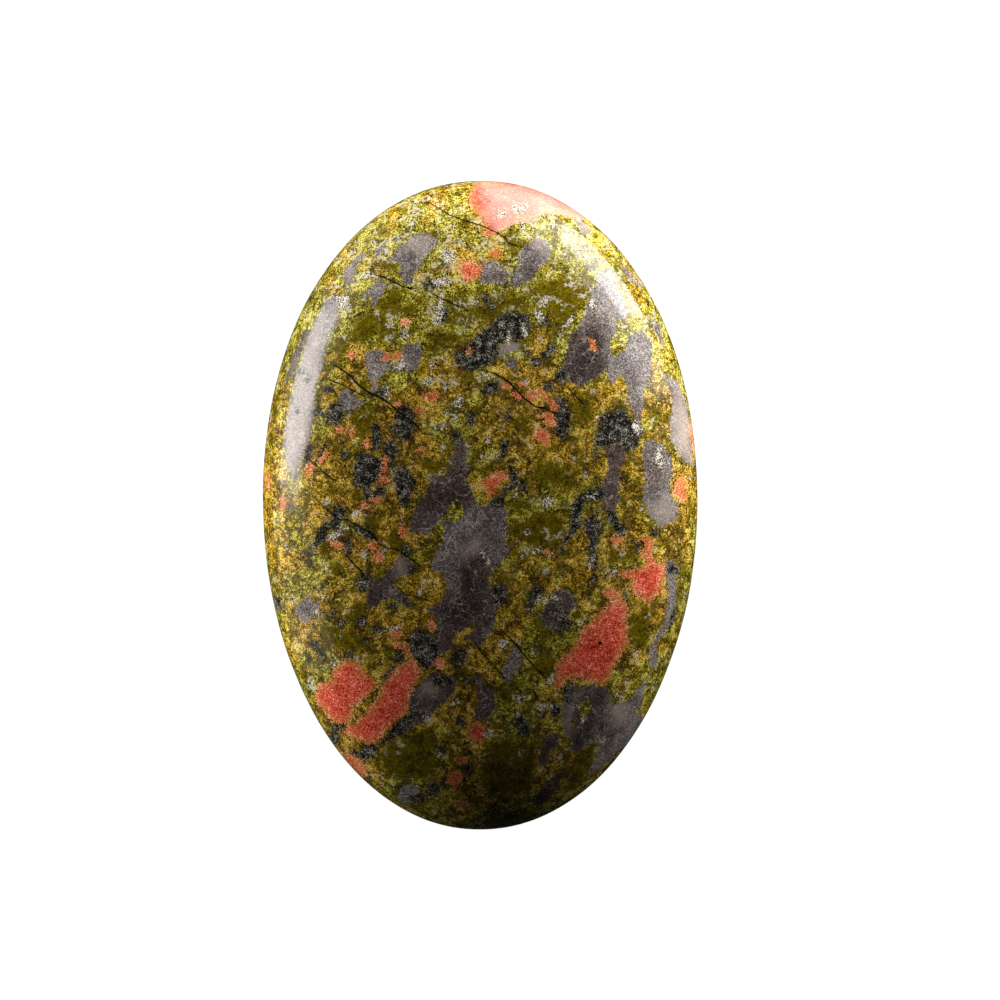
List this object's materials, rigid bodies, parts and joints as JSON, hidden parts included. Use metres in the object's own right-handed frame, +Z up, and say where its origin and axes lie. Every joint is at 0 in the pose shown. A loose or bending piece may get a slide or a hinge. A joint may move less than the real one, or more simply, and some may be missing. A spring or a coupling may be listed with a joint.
{
  "type": "palm stone",
  "caption": "Smooth oval palm stone of polished speckled green, pink and dark grey rock, domed on both faces, to hold in the hand or lay on a flat surface.",
  "frame": {"origin": "middle of the small flat spot on the underside, on the surface that the stone rests on", "axes": "+Z up through the crown, +Y along the length towards the slightly wider end, +X across the width"},
  "size_m": [0.0402, 0.06, 0.0163],
  "materials": {
    "polished_stone": "polished unakite: olive green epidote, salmon to brick red feldspar and smoky grey quartz, with fine dark cracks and pits"
  },
  "bodies": {
    "root": {"palm_stone": "polished_stone"}
  },
  "joints": []
}
